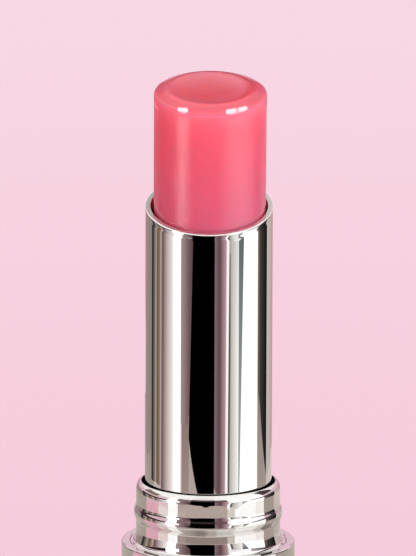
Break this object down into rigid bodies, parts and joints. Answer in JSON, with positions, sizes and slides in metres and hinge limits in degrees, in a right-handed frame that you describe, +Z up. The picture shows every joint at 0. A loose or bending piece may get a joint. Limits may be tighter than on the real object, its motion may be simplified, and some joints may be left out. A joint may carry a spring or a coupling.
{
  "type": "lip balm stick",
  "caption": "Slim twist-up lip balm stick without cap: balm bullet in a slant-mouthed bright metal tube, snap-bead collar and weighted round base.",
  "frame": {"origin": "centre of the underside, on the surface the stick stands on", "axes": "+Z up the stick along its axis, towards the balm; the low side of the slanted mouth faces -Y"},
  "size_m": [0.0186, 0.0186, 0.0748],
  "materials": {
    "base_chrome": "mirror",
    "weight_steel": "turned",
    "insert_plastic": "moulded",
    "collar_chrome": "mirror",
    "spindle_plastic": "moulded",
    "tube_metal": "mirror",
    "liner_plastic": "moulded",
    "ring_rubber": "matte",
    "carrier_plastic": "moulded",
    "balm_wax": "cast wax, soft gloss"
  },
  "bodies": {
    "base": {"base_shell": "base_chrome", "base_weight": "weight_steel", "base_insert": "insert_plastic", "collar": "collar_chrome", "spindle": "spindle_plastic"},
    "tube": {"tube_cover": "tube_metal", "tube_liner": "liner_plastic", "drag_ring": "ring_rubber"},
    "lift": {"carrier": "carrier_plastic", "balm": "balm_wax"}
  },
  "joints": [
    {"name": "tube_twist", "type": "hinge", "parent": "base", "child": "tube", "pos_m": [0, 0, 0.0219], "axis": [0, 0, 1], "range_deg": [-864, 840]},
    {"name": "balm_lift", "type": "slide", "parent": "tube", "child": "lift", "axis": [0, 0, 1], "range_m": [-0.014, 0.0144]}
  ],
  "couplings": [
    {"joint": "balm_lift", "follows": "tube_twist", "m_per_rad": -0.00095493}
  ]
}
